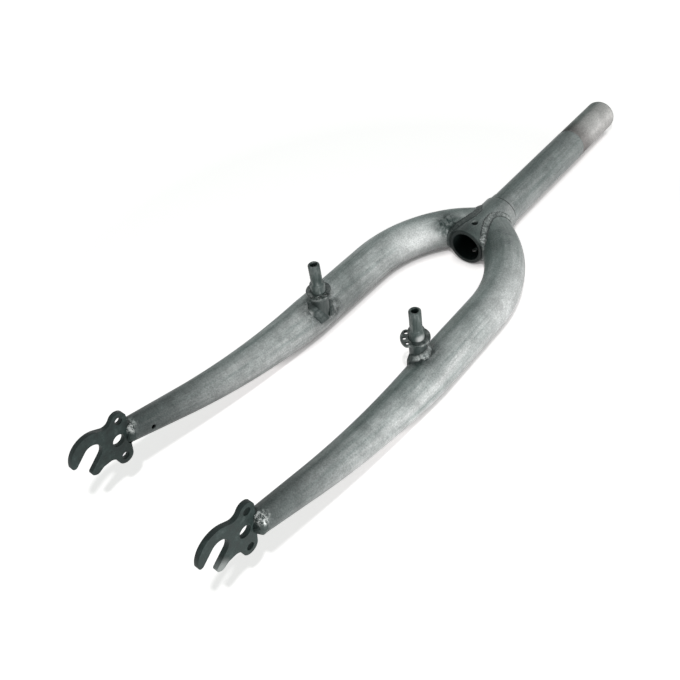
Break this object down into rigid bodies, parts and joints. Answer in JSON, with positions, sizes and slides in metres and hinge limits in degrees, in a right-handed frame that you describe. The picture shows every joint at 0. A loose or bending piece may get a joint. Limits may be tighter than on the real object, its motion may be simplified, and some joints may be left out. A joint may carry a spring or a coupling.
{
  "type": "bicycle fork",
  "caption": "Rigid steel bicycle front fork: straight steerer, curved tapering blades welded to its collar, cantilever brake bosses and slotted plate dropouts with eyelets.",
  "frame": {"origin": "on the steerer axis, at the shoulder that the crown race rests on", "axes": "+Y up the steerer, +Z to the fork's front and upwards as it lies on its back, +X to the rider's left"},
  "size_m": [0.13, 0.5176, 0.0679],
  "materials": {
    "tube_steel": "raw, mottled, satin",
    "dark_steel": "dark mill scale, satin",
    "boss_steel": "turned, satin",
    "plate_steel": "stamped, satin",
    "weld_steel": "bright weld metal"
  },
  "bodies": {
    "root": {"steerer_tube": "tube_steel", "left_blade": "tube_steel", "left_dropout": "dark_steel", "left_brake_boss": "boss_steel", "left_spring_plate": "plate_steel", "left_crown_weld": "weld_steel", "left_boss_weld": "weld_steel", "left_dropout_inner_weld": "weld_steel", "left_dropout_outer_weld": "weld_steel", "right_blade": "tube_steel", "right_dropout": "dark_steel", "right_brake_boss": "boss_steel", "right_spring_plate": "plate_steel", "right_crown_weld": "weld_steel", "right_boss_weld": "weld_steel", "right_dropout_inner_weld": "weld_steel", "right_dropout_outer_weld": "weld_steel"}
  },
  "joints": []
}
